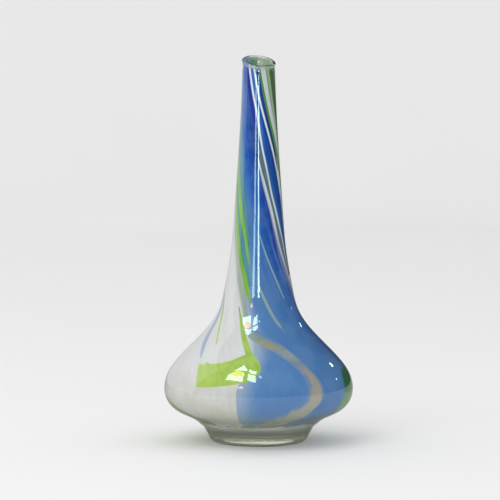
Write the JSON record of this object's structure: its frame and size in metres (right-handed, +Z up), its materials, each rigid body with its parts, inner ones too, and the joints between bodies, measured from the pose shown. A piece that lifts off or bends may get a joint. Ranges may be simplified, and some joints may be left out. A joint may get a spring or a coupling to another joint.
{
  "type": "bottle vase",
  "caption": "Cased art glass bottle vase: squat rounded belly, long tapering neck, slanted clear lip, clear foot, twisted blue, green and opal colour inside the wall.",
  "frame": {"origin": "centre of the flat underside of the foot, on the surface the vase stands on", "axes": "+Z up along the neck, -Y towards the front of the vase, +X to the front view's right"},
  "size_m": [0.1224, 0.1224, 0.25],
  "materials": {
    "clear_casing": "polished clear",
    "clear_inner": "polished clear",
    "clear_foot": "polished clear, faint green",
    "clear_lip": "fire-polished clear",
    "opal_white": "opal, translucent",
    "steel_blue": "translucent",
    "royal_blue": "translucent",
    "teal": "translucent",
    "leaf_green": "translucent",
    "deep_green": "translucent",
    "lime_green": "translucent",
    "cane_white": "opal, translucent",
    "grey_blue": "translucent",
    "olive": "translucent"
  },
  "bodies": {
    "root": {"outer_casing": "clear_casing", "inner_wall": "clear_inner", "foot": "clear_foot", "rim_lip": "clear_lip", "opal_ground": "opal_white", "blue_neck_sheet": "steel_blue", "blue_front_panel": "steel_blue", "blue_ribbon_right": "royal_blue", "teal_ribbon": "teal", "green_ribbon_left": "leaf_green", "green_thread_left": "leaf_green", "green_thread_right": "leaf_green", "green_ribbon_right": "deep_green", "white_stripe_right": "cane_white", "white_thread_low": "cane_white", "white_thread_middle": "cane_white", "white_thread_upper": "cane_white", "pale_thread_front": "olive", "pale_thread_middle": "cane_white", "lime_patch": "lime_green", "green_streak_front": "lime_green", "green_line_left": "lime_green", "grey_streak_left": "grey_blue", "green_underside_left": "leaf_green", "green_shard_right": "deep_green", "olive_veil": "olive"}
  },
  "joints": []
}
